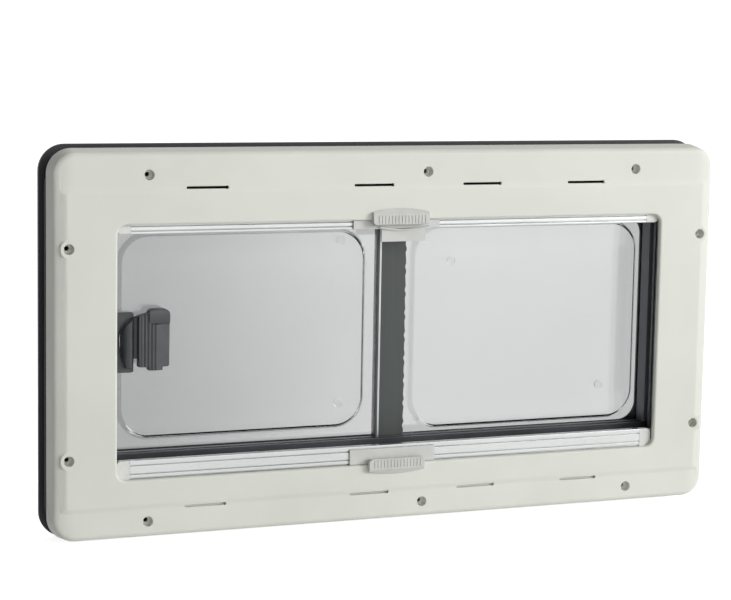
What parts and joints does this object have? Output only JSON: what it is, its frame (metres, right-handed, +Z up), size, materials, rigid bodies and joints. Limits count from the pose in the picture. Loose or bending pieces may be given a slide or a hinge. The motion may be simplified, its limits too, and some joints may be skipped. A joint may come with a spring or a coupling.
{
  "type": "caravan window",
  "caption": "Sliding caravan window: cream inner frame with blind cassettes, black outer frame for a wall cut-out, double-skinned panes side by side, latch and blind bars with grips.",
  "frame": {"origin": "middle of the lower run of the outer frame's wall face, where the flange lies on the outside of the caravan wall", "axes": "-Y into the room, +Y outdoors, +X to the right seen from the room, +Z up"},
  "size_m": [0.72, 0.0638, 0.3859],
  "materials": {
    "cream_moulding": "grained cream moulding",
    "black_foam": "black skin of the foam moulding",
    "seal_rubber": "soft black seal",
    "track_plastic": "black extrusion",
    "acrylic": "lightly tinted acrylic",
    "plug_plastic": "clear plug",
    "stile_aluminium": "satin edge strip",
    "post_plastic": "dark grey extrusion",
    "pile": "woven pile",
    "latch_plastic": "dark grey moulding",
    "pin_steel": "drawn pin",
    "screen_cloth": "dark insect screen on its tube",
    "blackout_cloth": "coated blackout cloth on its tube",
    "cream_plain": "plain cream moulding",
    "bar_aluminium": "anodised extrusion",
    "cap_plastic": "pale moulding",
    "grip_plastic": "light grey moulding"
  },
  "bodies": {
    "root": {"inner_frame": "cream_moulding", "outer_frame": "black_foam", "wall_seal": "seal_rubber", "top_track": "track_plastic", "bottom_track": "track_plastic", "left_jamb": "track_plastic", "right_jamb": "track_plastic", "sliding_pane_inner": "acrylic", "sliding_pane_outer": "acrylic", "fixed_pane_inner": "acrylic", "fixed_pane_outer": "acrylic", "sliding_pane_plugs": "plug_plastic", "fixed_pane_plugs": "plug_plastic", "sliding_pane_stile": "stile_aluminium", "meeting_post": "post_plastic", "meeting_brush": "pile", "latch_base": "latch_plastic", "latch_lever": "latch_plastic", "latch_keeper": "latch_plastic", "latch_pin": "pin_steel", "top_blind_roll": "screen_cloth", "bottom_blind_roll": "blackout_cloth", "top_roll_brackets": "cream_plain", "bottom_roll_brackets": "cream_plain", "left_blind_guide": "track_plastic", "right_blind_guide": "track_plastic", "top_blind_bar": "bar_aluminium", "bottom_blind_bar": "bar_aluminium", "top_bar_caps": "cap_plastic", "bottom_bar_caps": "cap_plastic", "top_grip": "grip_plastic", "bottom_grip": "grip_plastic", "top_grip_clip": "grip_plastic", "bottom_grip_clip": "grip_plastic"}
  },
  "joints": []
}
